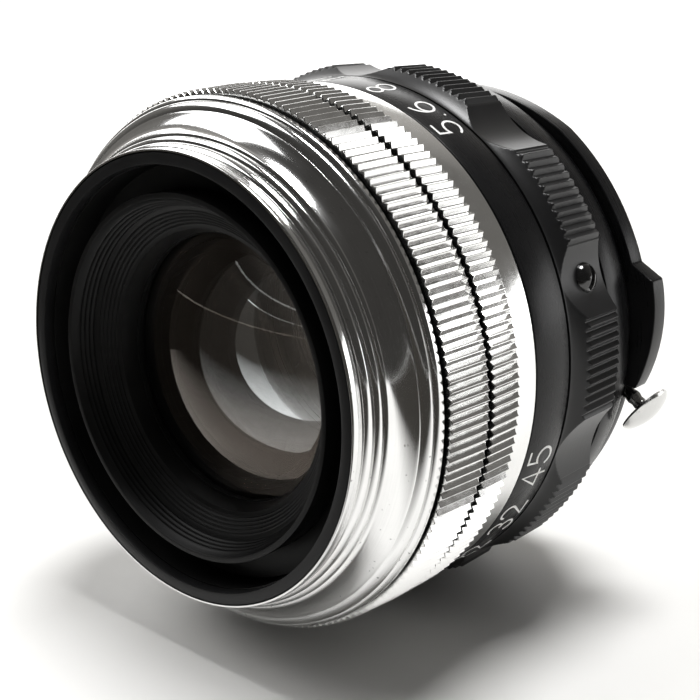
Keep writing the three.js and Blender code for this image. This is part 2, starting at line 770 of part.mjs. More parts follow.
add('lock_spring', alongButton([
  [buttonBoreEnd + SEAT, 0],
  [buttonBoreEnd + SEAT, BUTTON_POST_RADIUS - 0.1],
  [buttonBoreEnd + SEAT + LOCK_SPRING_LENGTH, BUTTON_POST_RADIUS - 0.1],
  [buttonBoreEnd + SEAT + LOCK_SPRING_LENGTH, 0],
]), 'steel');

// ---------------------------------------------------------------- mount

add('mount_flange', turned([
  [flangeFront, throatRadius],
  [flangeFront, FLANGE_RADIUS - 0.3],
  [flangeFront + 0.3, FLANGE_RADIUS],
  [flangeSeat, FLANGE_RADIUS],
  [flangeSeat, THREAD_RADIUS],
  [threadRear - 0.5, THREAD_RADIUS],
  [threadRear, THREAD_RADIUS - 0.5],
  [threadRear, throatRadius],
]), 'chrome');

const guideFront = innerStep + cellFlange + FOCUS_TRAVEL;
add('guide_sleeve', tube(guideFront, flangeFront - SEAT, guideBore, guideOuter), 'brass');

const lipRingRear = lipFront - RUN;
add('sleeve_retaining_ring', tube(
  lipRingRear - 0.7,
  lipRingRear,
  guideOuter + SEAT,
  helicoidInner - RUN,
), 'steel');

// The key stands up from the guide sleeve into the head tube's slot, so the head slides
// without turning.
function guideKey() {
  const length = 5.0;
  const key = new THREE.BoxGeometry(KEY_WIDTH, length, CARRIER_WALL - RUN);
  const bottom = guideOuter + SEAT + 0.1;
  key.translate(0, yOf(carrierRear - length / 2 - 1), -(bottom + (CARRIER_WALL - RUN) / 2));
  return key;
}
add('guide_key', guideKey(), 'steel');

export default lens;
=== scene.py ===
"""The looks of a preset prime lens that lies on a pale table, its front towards -Y.

Lengths are millimetres until a mesh is made. A "station" is a distance along the optical
axis, counted back from the front rim. Angles are degrees up from +X, towards +Z.
"""
import json
import math

import bmesh
import bpy
from mathutils import Matrix, Vector


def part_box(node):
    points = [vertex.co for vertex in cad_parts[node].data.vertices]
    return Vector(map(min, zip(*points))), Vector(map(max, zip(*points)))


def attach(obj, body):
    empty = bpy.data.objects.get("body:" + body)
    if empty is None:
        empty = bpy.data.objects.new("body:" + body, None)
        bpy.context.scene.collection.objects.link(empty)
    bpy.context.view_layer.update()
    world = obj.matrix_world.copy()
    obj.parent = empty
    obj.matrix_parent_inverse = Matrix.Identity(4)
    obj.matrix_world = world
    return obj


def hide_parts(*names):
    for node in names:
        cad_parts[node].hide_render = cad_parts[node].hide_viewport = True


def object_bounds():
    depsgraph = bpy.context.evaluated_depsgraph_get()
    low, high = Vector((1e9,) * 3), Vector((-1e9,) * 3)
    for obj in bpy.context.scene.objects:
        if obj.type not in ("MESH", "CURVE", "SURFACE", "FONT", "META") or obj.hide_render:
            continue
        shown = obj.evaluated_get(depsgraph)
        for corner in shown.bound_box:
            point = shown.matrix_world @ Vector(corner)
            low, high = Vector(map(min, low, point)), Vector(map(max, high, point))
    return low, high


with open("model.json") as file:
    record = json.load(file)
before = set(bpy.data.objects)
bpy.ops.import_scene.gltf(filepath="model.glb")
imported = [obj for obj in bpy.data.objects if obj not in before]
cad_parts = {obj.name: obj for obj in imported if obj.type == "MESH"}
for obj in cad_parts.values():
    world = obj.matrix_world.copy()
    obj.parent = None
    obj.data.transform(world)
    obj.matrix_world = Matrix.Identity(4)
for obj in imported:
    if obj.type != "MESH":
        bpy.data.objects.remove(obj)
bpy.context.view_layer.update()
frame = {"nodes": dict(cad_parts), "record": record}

MM = 0.001
RIM_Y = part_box("front_barrel")[0][1] / MM


def front(node):
    """The station where a CAD node begins."""
    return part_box(node)[0][1] / MM - RIM_Y


def rear(node):
    """The station where a CAD node ends."""
    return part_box(node)[1][1] / MM - RIM_Y


def radius(node):
    """The outer radius of a turned CAD node."""
    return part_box(node)[1][0] / MM


def polar(distance, angle):
    return distance * math.cos(math.radians(angle)), distance * math.sin(math.radians(angle))


def outward(angle):
    """The direction that points away from the optical axis at an angle."""
    x, z = polar(1.0, angle)
    return Vector((x, 0, z))


# ---------------- materials


class Nodes:
    """A few short words for building the node tree of a material or a world."""

    def __init__(self, owner):
        owner.use_nodes = True
        self.owner = owner
        self.tree = owner.node_tree
        self.shader = self.tree.nodes.get("Principled BSDF")

    def add(self, kind, **settings):
        node = self.tree.nodes.new(kind)
        for key, value in settings.items():
            setattr(node, key, value)
        return node

    def link(self, source, target):
        self.tree.links.new(source, target)

    def feed(self, socket, value):
        """Links an output to a socket, or sets a constant on it."""
        if isinstance(value, bpy.types.NodeSocket):
            self.link(value, socket)
        else:
            socket.default_value = value

    def math(self, operation, a, b=0.5, clamp=False):
        node = self.add("ShaderNodeMath", operation=operation, use_clamp=clamp)
        for socket, value in zip(node.inputs, (a, b)):
            self.feed(socket, value)
        return node.outputs[0]

    def position(self):
        return self.add("ShaderNodeTexCoord").outputs["Object"]

    def components(self, vector):
        node = self.add("ShaderNodeSeparateXYZ")
        self.link(vector, node.inputs[0])
        return node.outputs

    def length(self, vector):
        node = self.add("ShaderNodeVectorMath", operation="LENGTH")
        self.link(vector, node.inputs[0])
        return node.outputs["Value"]

    def combined(self, **parts):
        node = self.add("ShaderNodeCombineXYZ")
        for key, value in parts.items():
            self.link(value, node.inputs[key])
        return node.outputs[0]

    def noise(self, vector, scale, detail=3.0, roughness=0.5):
        node = self.add("ShaderNodeTexNoise")
        node.inputs["Scale"].default_value = scale
        node.inputs["Detail"].default_value = detail
        node.inputs["Roughness"].default_value = roughness
        self.link(vector, node.inputs["Vector"])
        return node.outputs["Fac"]

    def turned_vector(self, across, along):
        """The position, the distance from the optical axis, and a vector for turning marks.

        The vector changes fast across the marks and slowly along them.
        """
        position = self.position()
        x, y, z = self.components(position)
        distance = self.length(self.combined(X=x, Z=z))
        turn = self.math("ABSOLUTE", self.math("ARCTAN2", z, x), 0)
        marks = self.combined(
            X=self.math("MULTIPLY", distance, across),
            Y=self.math("MULTIPLY", y, across),
            Z=self.math("MULTIPLY", turn, along),
        )
        return position, distance, marks

    def ramp(self, value, stops):
        node = self.add("ShaderNodeValToRGB")
        elements = node.color_ramp.elements
        for element, (place, colour) in zip(elements, (stops[0], stops[-1])):
            element.position = place
            element.color = (*colour, 1)
        for place, colour in stops[1:-1]:
            elements.new(place).color = (*colour, 1)
        self.link(value, node.inputs[0])
        return node.outputs["Color"]

    def mapped(self, value, interpolation="LINEAR", **limits):
        """A value mapped from one range on to another, each of them 0 to 1 if not given."""
        node = self.add("ShaderNodeMapRange", interpolation_type=interpolation)
        for key, limit in limits.items():
            node.inputs[key.replace("_", " ")].default_value = limit
        self.link(value, node.inputs["Value"])
        return node.outputs["Result"]

    def spread(self, value, low, high):
        return self.mapped(value, To_Min=low, To_Max=high)

    def blend(self, factor, a, b, blend_type="MIX"):
        """Two colours mixed by a factor, each of the three a socket or a constant."""
        node = self.add("ShaderNodeMix", data_type="RGBA", blend_type=blend_type)
        for key, value in (("Factor", factor), ("A", a), ("B", b)):
            self.feed(node.inputs[key], value)
        return node.outputs["Result"]

    def mix_shaders(self, factor, first, second):
        node = self.add("ShaderNodeMixShader")
        for socket, source in zip(node.inputs, (factor, first, second)):
            self.link(source, socket)
        return node.outputs[0]

    def bump(self, *layers):
        """Bump layers of (height, strength, distance in metres), one on another."""
        normal = None
        for height, strength, distance in layers:
            node = self.add("ShaderNodeBump")
            node.inputs["Strength"].default_value = strength
            node.inputs["Distance"].default_value = distance
            self.link(height, node.inputs["Height"])
            if normal:
                self.link(normal, node.inputs["Normal"])
            normal = node.outputs["Normal"]
        self.link(normal, self.shader.inputs["Normal"])

    def set(self, **values):
        for key, value in values.items():
            self.shader.inputs[key.replace("_", " ")].default_value = value


def grey(value):
    return (value, value, value)


def new_material(name):
    return Nodes(bpy.data.materials.new(name))


def turned_metal(name, colour, rough, marks=0.25, grime=0.25):
    """Bright metal with fine marks that run round it, faint scratches and small dark specks."""
    n = new_material(name)
    n.set(Metallic=1.0)
    position, _, rings = n.turned_vector(across=9000.0, along=0.6)
    fine = n.noise(rings, scale=1.0, detail=2.0)
    cloud = n.noise(position, scale=180.0, detail=4.0, roughness=0.6)
    speck = n.noise(position, scale=2600.0, detail=1.0)
    shade = n.ramp(n.math("ADD", n.math("MULTIPLY", fine, 0.4), n.math("MULTIPLY", cloud, 0.6)), [
        (0.25, tuple(c * (1 - grime) for c in colour)),
        (0.6, colour),
    ])
    spots = n.ramp(speck, [(0.2, grey(0.25)), (0.27, grey(1.0))])
    n.link(n.blend(1.0, shade, spots, "MULTIPLY"), n.shader.inputs["Base Color"])
    uneven = n.math("ADD", n.math("MULTIPLY", cloud, 0.5), n.math("MULTIPLY", fine, 0.5))
    n.link(n.spread(uneven, rough * 0.45, rough * 1.7), n.shader.inputs["Roughness"])
    n.bump((fine, marks, 2e-6), (speck, 0.08, 4e-6))
    return n.owner


def knurled_metal(name, colour, tip, depth):
    """Plated teeth with painted shade: bright at the tips, painted darker towards the roots, over a
    collar painted dark.
    """
    n = new_material(name)
    n.set(Metallic=1.0)
    position, distance, rings = n.turned_vector(across=5000.0, along=3.0)
    # Painted shade: the colour darkens with depth below the tips, so the roots and the sunk collar come
    # out almost black; a noise makes its edge uneven.
    height = n.math("DIVIDE", n.math("SUBTRACT", distance, (tip - depth) * MM), depth * MM, True)
    cloud = n.noise(position, scale=900.0, detail=4.0, roughness=0.65)
    root_shade = n.math("MULTIPLY", height, n.math("ADD", cloud, 0.6), True)
    shade = n.ramp(root_shade, [(0.1, (0.05, 0.05, 0.05)), (0.42, (0.55, 0.55, 0.54)), (0.56, colour)])
    n.link(shade, n.shader.inputs["Base Color"])
    fine = n.noise(rings, scale=1.0, detail=3.0)
    n.link(n.spread(n.math("SUBTRACT", cloud, n.math("MULTIPLY", height, 0.3)), 0.10, 0.32),
           n.shader.inputs["Roughness"])
    n.bump((fine, 0.2, 4e-6), (cloud, 0.2, 6e-6))
    return n.owner


BARE_METAL = (0.05, 0.048, 0.045, 1)


def black_finish(name, base, rough, grain=1800.0, relief=6e-6, wear=0.35, shine=0.3):
    """Black lacquer over metal, with a fine grain, dusty patches and rubbed spots."""
    n = new_material(name)
    n.set(Specular_IOR_Level=shine)
    position, _, rings = n.turned_vector(across=3500.0, along=0.8)
    fine = n.noise(position, scale=grain, detail=3.0, roughness=0.6)
    cloud = n.noise(position, scale=120.0, detail=5.0, roughness=0.6)
    lines = n.noise(rings, scale=1.0, detail=2.0)
    rubbed = n.noise(position, scale=640.0, detail=6.0, roughness=0.7)
    dusty = tuple(c + 0.006 for c in base)
    shade = n.ramp(cloud, [(0.3, base), (0.7, dusty)])
    wear_mask = n.ramp(rubbed, [(0.72, grey(0.0)), (0.80, grey(wear))])
    n.link(n.blend(wear_mask, shade, BARE_METAL), n.shader.inputs["Base Color"])
    uneven = n.math("ADD", n.math("MULTIPLY", cloud, 0.6), n.math("MULTIPLY", lines, 0.4))
    n.link(n.spread(uneven, rough * 0.8, rough * 1.25), n.shader.inputs["Roughness"])
    n.bump((fine, 0.35, relief), (lines, 0.15, 3e-6))
    return n.owner


def filled_lettering():
    n = new_material("number_enamel")
    cloud = n.noise(n.position(), scale=1500.0, detail=4.0, roughness=0.6)
    n.link(n.ramp(cloud, [(0.3, (0.80, 0.79, 0.77)), (0.6, (0.93, 0.93, 0.92))]),
           n.shader.inputs["Base Color"])
    n.link(n.spread(cloud, 0.35, 0.6), n.shader.inputs["Roughness"])
    n.bump((cloud, 0.2, 5e-6))
    return n.owner


def coated_glass(name, tint, reflection, shine, index):
    """Clear glass whose coating tints what it reflects, with a few faint smears."""
    n = new_material(name)
    n.set(Base_Color=(*tint, 1), Transmission_Weight=1.0, IOR=index, Specular_Tint=(*reflection, 1),
          Specular_IOR_Level=shine)
    smear = n.noise(n.position(), scale=160.0, detail=3.0, roughness=0.5)
    n.link(n.spread(n.ramp(smear, [(0.5, grey(0.0)), (0.8, grey(1.0))]), 0.0, 0.03),
           n.shader.inputs["Roughness"])
    n.bump((smear, 0.01, 1e-6))
    return n.owner


# Distances from the origin, in metres, over which the painted shade round the lens fades out.
SHADE_FADE_START = 0.03
SHADE_FADE_END = 0.9
FAR_TABLE = (0.96, 0.96, 0.955, 1)


def table_surface():
    """A faintly cloudy white surface with painted shade: its colour is darker near the lens and grows
    paler away from it.
    """
    n = new_material("table")
    position = n.position()
    cloud = n.noise(position, scale=14.0, detail=5.0, roughness=0.6)
    grain = n.noise(position, scale=900.0, detail=3.0, roughness=0.6)
    # Painted shade: the colour is darker near the lens and fades to the far colour with distance from
    # it.
    far = n.mapped(n.length(position), "SMOOTHSTEP", From_Min=SHADE_FADE_START, From_Max=SHADE_FADE_END)
    near = n.ramp(cloud, [(0.3, (0.72, 0.715, 0.70)), (0.7, (0.75, 0.745, 0.73))])
    n.link(n.blend(far, near, FAR_TABLE), n.shader.inputs["Base Color"])
    n.link(n.spread(grain, 0.55, 0.75), n.shader.inputs["Roughness"])
    n.bump((grain, 0.15, 2e-5))
    return n.owner


KNURL_DEPTH = 0.4
KNURL_TIP = 26.0
chrome = turned_metal("polished_chrome", (0.93, 0.93, 0.925), rough=0.11, marks=0.25, grime=0.12)
button_chrome = turned_metal("button_chrome", (0.70, 0.70, 0.69), rough=0.16, marks=0.1, grime=0.15)
flange_chrome = turned_metal("flange_chrome", (0.84, 0.83, 0.80), rough=0.24, marks=0.5)
knurl_chrome = knurled_metal("knurled_chrome", (0.93, 0.93, 0.92), KNURL_TIP, 3 * KNURL_DEPTH)
black_satin = black_finish("black_satin", (0.003, 0.003, 0.0035), rough=0.27, shine=0.24)
black_gloss = black_finish("black_gloss", (0.004, 0.004, 0.004), rough=0.12, wear=0.2, shine=0.9)
black_grip = black_finish("black_grip", (0.005, 0.005, 0.0055), rough=0.34, grain=2600.0,
                          relief=8e-6, wear=0.5, shine=0.4)
black_rim = black_finish("black_rim", (0.006, 0.006, 0.0065), rough=0.42, grain=3000.0,
                         relief=8e-6, wear=0.4)
black_inside = black_finish("black_inside", (0.003, 0.003, 0.003), rough=0.42, grain=2400.0,
                            relief=5e-6, wear=0.1, shine=0.2)
black_matt = black_finish("black_matt", (0.003, 0.003, 0.003), rough=0.7, grain=1500.0,
                          relief=8e-6, wear=0.15, shine=0.15)
blade_steel = turned_metal("blade_steel", (0.03, 0.03, 0.032), rough=0.45, marks=0.1, grime=0.5)
brass = turned_metal("aged_brass", (0.30, 0.24, 0.14), rough=0.42, marks=0.6, grime=0.5)
steel = turned_metal("bright_steel", (0.62, 0.62, 0.61), rough=0.28, marks=0.3, grime=0.3)
enamel = filled_lettering()
front_glass = coated_glass("front_glass", tint=(0.99, 0.99, 0.985), reflection=(1.0, 0.82, 0.68),
                           shine=0.8, index=1.6)
pair_glass = coated_glass("pair_glass", tint=(0.98, 0.98, 0.97), reflection=(1.0, 0.96, 0.93),
                          shine=1.0, index=2.3)
inner_glass = coated_glass("inner_glass", tint=(0.98, 0.98, 0.97), reflection=(1.0, 0.90, 0.86),
                           shine=0.7, index=1.6)


# ---------------- meshes


TINY = 1e-6


def placed(name, data):
    """An object in the scene."""
    made = bpy.data.objects.new(name, data)
    bpy.context.scene.collection.objects.link(made)
    return made


def piece(name, vertices, faces, body, node, material, crease=35, lining=None):
    """A mesh object that stands for one or more CAD nodes and rides on their body.

    lining is (material, radius): faces nearer the axis than that radius take this material.
    """
    mesh = bpy.data.meshes.new(name)
    mesh.from_pydata([Vector(v) * MM for v in vertices], [], faces)
    work = bmesh.new()
    work.from_mesh(mesh)
    bmesh.ops.recalc_face_normals(work, faces=work.faces)
    work.to_mesh(mesh)
    work.free()
    mesh.shade_smooth()
    mesh.set_sharp_from_angle(angle=math.radians(crease))
    mesh.materials.append(material)
    if lining:
        mesh.materials.append(lining[0])
        for polygon in mesh.polygons:
            if math.hypot(polygon.center.x, polygon.center.z) < lining[1] * MM:
                polygon.material_index = 1
    made = placed(name, mesh)
    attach(made, body)
    if node:
        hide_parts(*node.split())
    return made


CORNER_ANGLE = 22
CORNER_SHARE = 0.4


def rounded(outline, size=0.07, closed=True):
    """The outline with its sharp corners broken, so that every edge catches the light."""
    result = []
    count = len(outline)
    for index, (station, distance) in enumerate(outline):
        here = Vector((station, distance))
        if not closed and index in (0, count - 1):
            result.append((station, distance))
            continue
        before = Vector(outline[index - 1]) - here
        after = Vector(outline[(index + 1) % count]) - here
        short = before.length < TINY or after.length < TINY
        if short or math.degrees(before.angle(-after)) < CORNER_ANGLE:
            result.append((station, distance))
            continue
        reach = min(size, before.length * CORNER_SHARE, after.length * CORNER_SHARE)
        start = here + before.normalized() * reach
        end = here + after.normalized() * reach
        middle = (start + end + 2 * here) / 4
        result.extend((p.x, p.y) for p in (start, middle, end))
    return result


def even_angles(count):
    return [360.0 * k / count for k in range(count)]


def bands(rows, following):
    """Faces between rows of vertices. A row on the axis repeats one vertex and gives triangles."""
    faces = []
    for one, two in zip(rows, following):
        for k in range(len(one)):
            n = (k + 1) % len(one)
            corners = []
            for corner in (one[k], one[n], two[n], two[k]):
                if corner not in corners:
                    corners.append(corner)
            if len(corners) > 2:
                faces.append(corners)
    return faces


def sweep(outline, angles, shape=None):
    """Vertices and faces of an outline of (station, radius) carried round the axis.

    An outline that starts on the axis ends on it too; any other closes on itself. shape
    gives the radius at a station, a radius and an angle.
    """
    vertices = []
    rows = []
    count = len(angles)
    for station, distance in outline:
        y = station + RIM_Y
        if distance < TINY:
            rows.append([len(vertices)] * count)
            vertices.append((0.0, y, 0.0))
            continue
        rows.append(range(len(vertices), len(vertices) + count))
        for angle in angles:
            r = shape(station, distance, angle) if shape else distance
            x, z = polar(r, angle)
            vertices.append((x, y, z))
    solid = outline[0][1] < TINY
    return vertices, bands(rows, rows[1:] if solid else rows[1:] + rows[:1])


def turned(name, outline, body, node, material, columns=256, crease=35, lining=None):
    vertices, faces = sweep(outline, even_angles(columns))
    return piece(name, vertices, faces, body, node, material, crease, lining)


def arc_points(start, end, bulge, steps=6):
    """Points from start to end along a shallow arc, bulge being its height at the middle."""
    a, b = Vector(start), Vector(end)
    side = Vector((-(b - a).y, (b - a).x)).normalized()
    points = []
    for step in range(steps + 1):
        t = step / steps
        point = a.lerp(b, t) + side * (4 * bulge * t * (1 - t))
        points.append((point.x, point.y))
    return points


# ---------------- front barrel

HEAD_BORE = 18.95
TUBE_BORE = 16.36
FILTER_BORE = 19.6
REBATE = 20.8
REBATE_END = 1.25
FILTER_END = 4.2
WEB_END = 4.75
FLARE_HOLLOW = -0.24

lip = radius("front_rim_ring") + 0.3
barrel_rear = rear("front_barrel")
barrel_radius = radius("front_barrel")

# The bright lip, and the groove behind it.
barrel_outline = [
    (0.0, REBATE),
    (0.0, lip - 0.06),
    (0.1, lip),
    (0.98, lip),
    (1.04, lip - 0.34),
    (1.22, lip - 0.34),
]
# Three beads, each one wider than the last, with a groove between them.
barrel_outline += arc_points((1.26, lip - 0.02), (1.84, lip + 0.36), 0.1)
barrel_outline += [(1.88, lip - 0.02), (2.06, lip)]
barrel_outline += arc_points((2.1, lip + 0.42), (2.52, lip + 0.82), 0.08, 4)
barrel_outline += [(2.55, lip + 0.5), (2.68, lip + 0.54)]
barrel_outline += arc_points((2.71, lip + 0.92), (2.96, lip + 1.22), 0.05, 4)
# The hollow flare.
barrel_outline += arc_points((3.0, lip + 1.16), (4.82, lip + 2.82), FLARE_HOLLOW, 12)
barrel_outline += [(4.84, lip + 2.74), (4.92, lip + 2.78)]
# The bright bead, and a narrow one at the widest place.
barrel_outline += arc_points((4.94, lip + 3.0), (5.46, lip + 3.66), 0.1)
barrel_outline += [(5.48, lip + 3.3), (5.62, lip + 3.4)]
barrel_outline += arc_points((5.66, lip + 3.82), (5.98, lip + 4.1), 0.04, 4)
# The rear face, and the bores from back to front.
barrel_outline += [
    (6.02, barrel_radius - 0.1),
    (barrel_rear, barrel_radius - 0.05),
    (barrel_rear, HEAD_BORE),
    (WEB_END, HEAD_BORE),
    (WEB_END, TUBE_BORE),
    (FILTER_END, TUBE_BORE),
    (FILTER_END, FILTER_BORE),
    (REBATE_END, FILTER_BORE),
    (REBATE_END, REBATE),
]
turned("front_barrel_polished", rounded(barrel_outline, 0.03), "head", "front_barrel",
       chrome, 360, 26, (black_inside, REBATE + 0.02))

rim_outer = radius("front_rim_ring")
turned("front_rim_black", rounded([
    (0.02, FILTER_BORE + 0.06),
    (0.02, rim_outer - 0.02),
    (1.18, rim_outer - 0.02),
    (1.18, FILTER_BORE + 0.06),
], 0.12), "head", "front_rim_ring", black_rim)

# ---------------- front baffle

GLASS_SEAT = 12.88
GROOVE_PITCH = 0.42
GROOVE_DEPTH = 0.07

baffle_front = front("front_baffle")
baffle_rear = rear("front_baffle")
baffle_outer = radius("front_baffle")


def grooved(start, end, pitch, depth):
    """A straight stretch of outline cut by small V grooves."""
    a, b = Vector(start), Vector(end)
    along = b - a
    count = max(1, round(along.length / pitch))
    inward = Vector((along.y, -along.x)).normalized() * depth
    points = [tuple(a)]
    for step in range(count):
        for share, deep in ((0.25, 0), (0.55, 1), (0.85, 0)):
            point = a + along * ((step + share) / count) + inward * deep
            points.append((point.x, point.y))
    points.append(tuple(b))
    return points


baffle_outline = rounded([
    (baffle_rear, GLASS_SEAT + 1.9),
    (4.1, 14.8),
    (4.1, baffle_outer),
    (baffle_front, baffle_outer),
    (baffle_front, baffle_outer - 0.55),
    (baffle_front + 0.5, baffle_outer - 0.7),
], 0.12, closed=False)
baffle_outline += grooved((baffle_front + 0.55, baffle_outer - 0.75),
                          (baffle_front + 2.2, baffle_outer - 1.45), GROOVE_PITCH, GROOVE_DEPTH)
baffle_outline += grooved((baffle_front + 2.35, baffle_outer - 1.75),
                          (baffle_front + 3.6, GLASS_SEAT + 0.95), GROOVE_PITCH, GROOVE_DEPTH)
baffle_outline += [
    (baffle_front + 3.7, GLASS_SEAT + 0.55),
    (baffle_rear - 0.15, GLASS_SEAT + 0.03),
    (baffle_rear, GLASS_SEAT + 0.03),
]
turned("front_baffle_grooved", baffle_outline, "head", "front_baffle",
       black_inside, 256, 30)

# ---------------- glass


def sag(curvature, distance):
    return curvature - math.sqrt(curvature ** 2 - distance ** 2)


def face(edge, curvature, rim, bulge, steps=20):
    """Points of a curved face from the axis to its rim. bulge is +1 towards the front."""
    points = []
    for step in range(steps + 1):
        r = rim * step / steps
        points.append((edge - bulge * (sag(curvature, rim) - sag(curvature, r)), r))
    return points


def glass_outline(rim, front_face, rear_face):
    """Each face is (edge station, curvature, bulge, radius of the curved part)."""
    outline = face(front_face[0], front_face[1], front_face[3], front_face[2])
    if front_face[3] < rim:
        outline.append((front_face[0], rim))
    back = face(rear_face[0], rear_face[1], rear_face[3], rear_face[2])
    if rear_face[3] < rim:
        outline.append((rear_face[0], rim))
    return outline + back[::-1]


FLAT_LIMIT = 7.5


def blacken_edge(glass):
    """The ground edge of a glass is painted black, and so is the flat round a hollow face."""
    mesh = glass.data
    mesh.materials.append(black_matt)
    for polygon in mesh.polygons:
        rim = abs(polygon.normal.y) < 0.1
        distance = math.hypot(polygon.center.x, polygon.center.z)
        level = abs(polygon.normal.y) > 0.9999 and distance > FLAT_LIMIT * MM
        if rim or level:
            polygon.material_index = 1


FLAT = 1e4
HOLLOW_FRONT = 8.9
HOLLOW_REAR = 8.3
front_rim = radius("front_element") - 0.02
pair_rim = radius("second_element") - 0.02
back_rim = radius("fourth_element") - 0.02
first_edge = 6.72
first_back = rear("front_element")
pair_edge = 12.3
rear_pair_back = 30.2
last_back = 33.4

GLASS_FINISH = {"front_element": front_glass, "second_element third_element": pair_glass}
glasses = {
    "front_element": (front_rim, (first_edge, 33, 1, front_rim), (first_back, 90, 1, front_rim)),
    "second_element third_element": (
        pair_rim,
        (pair_edge, 21, 1, pair_rim),
        (rear("third_element"), 13.5, 1, HOLLOW_FRONT),
    ),
    "fourth_element fifth_element": (
        back_rim,
        (front("fourth_element"), 13, -1, HOLLOW_REAR),
        (rear_pair_back, 20, -1, back_rim),
    ),
    "rear_element": (
        back_rim,
        (front("rear_element"), FLAT, 1, back_rim),
        (last_back, 36, -1, back_rim),
    ),
}
for nodes, (rim, front_face, rear_face) in glasses.items():
    glass = turned(nodes.replace(" ", "_and_") + "_glass", glass_outline(rim, front_face, rear_face),
                   "head", nodes, GLASS_FINISH.get(nodes, inner_glass), 128)
    blacken_edge(glass)

# ---------------- knurled rings

TEETH = 188
ROOT_SHARE = 0.04
FLANK_SHARE = 0.43
TOOTH_PHASES = (0.0, 0.04, 0.47, 0.53, 0.96)
RING_BORE = 19.06
CHAMFER_SLOPE = 1.3
COLLAR_DEPTH = 1.6
FRONT_BREAK = 0.07
ROW_PITCH = 0.06


def tooth_angles():
    pitch = 360.0 / TEETH
    return [pitch * (tooth + phase) for tooth in range(TEETH) for phase in TOOTH_PHASES]


def tooth_height(angle):
    """0 at the root of a tooth and 1 at its tip."""
    phase = (angle * TEETH / 360.0) % 1.0
    return min(1.0, max(0.0, (0.5 - abs(phase - 0.5) - ROOT_SHARE) / FLANK_SHARE))


def knurl(station, begin, end, tip_front, tip_rear, depth):
    """Tip radius at a station, and the cone of the small front and wide rear chamfers."""
    share = (station - begin) / (end - begin)
    tip = tip_front + share * (tip_rear - tip_front)
    front_cone = tip_front - FRONT_BREAK + (station - begin) * CHAMFER_SLOPE
    rear_cone = tip_rear - depth - 0.02 + (end - station) * CHAMFER_SLOPE
    return tip, min(front_cone, rear_cone)


def knurl_rows(begin, end):
    """Stations of the toothed rows, close together over the chamfers."""
    near = [begin + ROW_PITCH * k for k in range(8)]
    far = [end - ROW_PITCH * k for k in range(5, -1, -1)]
    return near + [begin + (end - begin) * 0.5] + far


def knurled_ring(name, node, body, start, collar, end, tip_front, tip_rear, rest):
    """A ring with a sunk collar, and then teeth up to end; rest is the outline behind them."""
    begin = start + collar
    rows = knurl_rows(begin, end)
    toothed = set(rows)
    sunk = tip_front - COLLAR_DEPTH
    outline = [(start, RING_BORE), (start, sunk), (begin, sunk)]
    outline += [(station, tip_rear) for station in rows]
    outline += rest

    def shape(station, distance, angle):
        if station not in toothed or distance < tip_rear - 0.05:
            return distance
        tip, cone = knurl(station, begin, end, tip_front, tip_rear, KNURL_DEPTH)
        return min(cone, tip - KNURL_DEPTH * (1 - tooth_height(angle)))

    vertices, faces = sweep(outline, tooth_angles(), shape)
    return piece(name, vertices, faces, body, node, knurl_chrome, 20)


stop_front = front("stop_down_ring")
stop_rear = rear("stop_down_ring")
tip = radius("stop_down_ring")
knurled_ring("stop_down_ring_knurled", "stop_down_ring", "stop_ring", stop_front, 0.1, stop_rear,
             tip - 0.32, tip - 0.01, [(stop_rear, RING_BORE)])

preset_front = front("preset_ring")
preset_rear = rear("preset_ring")
knurl_rear = preset_front + 4.2
band = tip - 0.42
knurled_ring("preset_ring_knurled", "preset_ring", "preset", preset_front, 0.32, knurl_rear,
             tip - 0.06, tip - 0.01, [
                 (knurl_rear + 0.12, band - 0.02),
                 (knurl_rear + 0.2, band),
                 (preset_rear - 0.1, band),
                 (preset_rear, band - 0.1),
                 (preset_rear, RING_BORE),
             ])

# ---------------- aperture scale ring

number_front = front("aperture_scale_ring")
number_rear = rear("aperture_scale_ring")
number_edge = radius("aperture_scale_ring")
number_start = number_edge - 0.4
SCALE_BORE = 19.0
SCALE_HOLLOW = 22.0
SCALE_WEB = 1.15
turned("aperture_scale_black", rounded([
    (number_front, SCALE_BORE),
    (number_front, number_start),
    (number_rear, number_edge - 0.01),
    (number_rear, SCALE_HOLLOW),
    (number_front + SCALE_WEB, SCALE_HOLLOW),
    (number_front + SCALE_WEB, SCALE_BORE),
], 0.09), "head", "aperture_scale_ring", black_satin)


def bow(centre, size, begin, end, steps=14, squash=1.0):
    """Points on an arc of a circle, or of an ellipse where squash isn't 1."""
    points = []
    for step in range(steps + 1):
        angle = math.radians(begin + (end - begin) * step / steps)
        points.append((centre[0] + size * math.cos(angle), centre[1] + squash * size * math.sin(angle)))
    return points


# Centre lines of the strokes of each digit, one unit high, with the width of its cell.
DIGITS = {
    ".": (0.16, [[(0.08, 0.02), (0.081, 0.02)]]),
    "1": (0.36, [[(0.08, 0.8), (0.26, 1.0), (0.26, 0.0)]]),
    "2": (0.60, [bow((0.30, 0.72), 0.27, 170, -38) + [(0.05, 0.0), (0.57, 0.0)]]),
    "3": (0.60, [bow((0.28, 0.745), 0.245, 150, -80), bow((0.28, 0.27), 0.275, 85, -150)]),
    "4": (0.66, [[(0.46, 0.0), (0.46, 1.0), (0.03, 0.27), (0.62, 0.27)]]),
    "5": (0.60, [[(0.52, 1.0), (0.14, 1.0), (0.09, 0.56)] + bow((0.27, 0.32), 0.30, 118, -150)]),
    "6": (0.62, [bow((0.31, 0.30), 0.28, 0, 360, 24), bow((0.62, 0.34), 0.59, 178, 110, 10)]),
    "8": (0.60, [bow((0.30, 0.76), 0.23, 0, 360, 20), bow((0.30, 0.27), 0.27, 0, 360, 24)]),
}
DIGIT_HEIGHT = 3.2
STROKE = 0.125
SPACE = 0.17
CAP_STEPS = 4
ENAMEL_RISE = 0.022
ENAMEL_STEP = 0.002
ENAMEL_ROOT = -0.05


